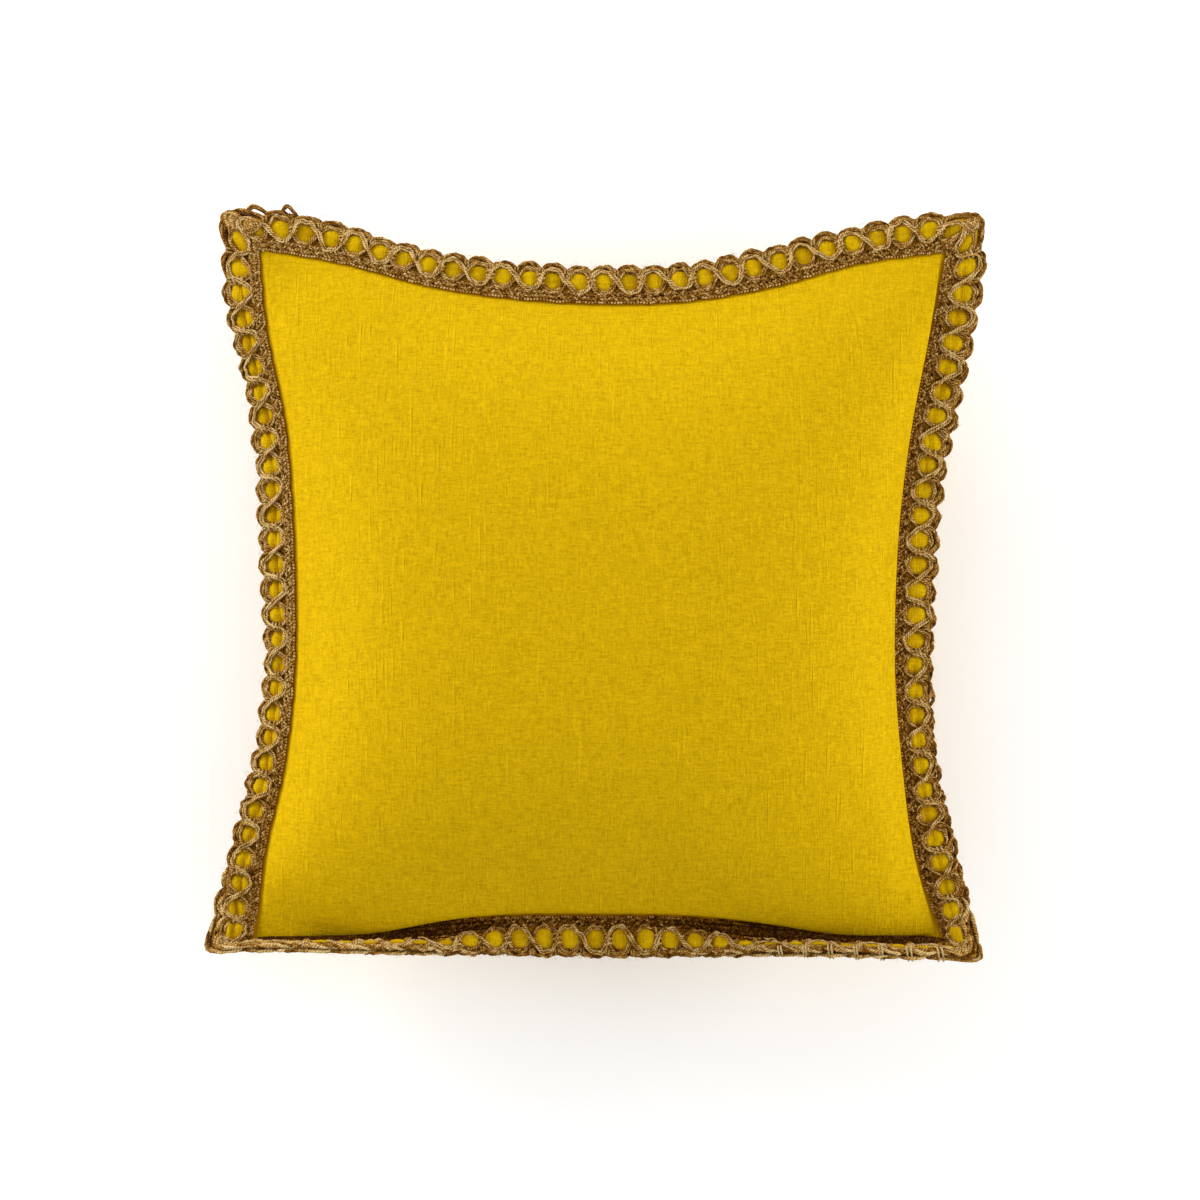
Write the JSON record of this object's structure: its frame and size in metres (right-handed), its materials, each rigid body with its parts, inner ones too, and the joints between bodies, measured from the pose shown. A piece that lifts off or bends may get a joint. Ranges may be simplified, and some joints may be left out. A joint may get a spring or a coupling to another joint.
{
  "type": "square cushion with openwork braid edging",
  "caption": "Square scatter cushion lying on its back, with a crowned front, drawn-in sides and an openwork braid round the edge of each face.",
  "frame": {"origin": "under the middle of the cushion, on the surface that its back lies on", "axes": "+Z out of the cushion's front, its shortest way; +Y towards the edge that is the top one in the picture; +X to the right, seen from the front"},
  "size_m": [0.4588, 0.442, 0.1425],
  "materials": {
    "cloth": "slubbed plain weave, matt",
    "jute": "two-ply jute twine, matt and hairy"
  },
  "bodies": {
    "root": {"cushion": "cloth", "braid_front": "jute", "braid_back": "jute"}
  },
  "joints": []
}
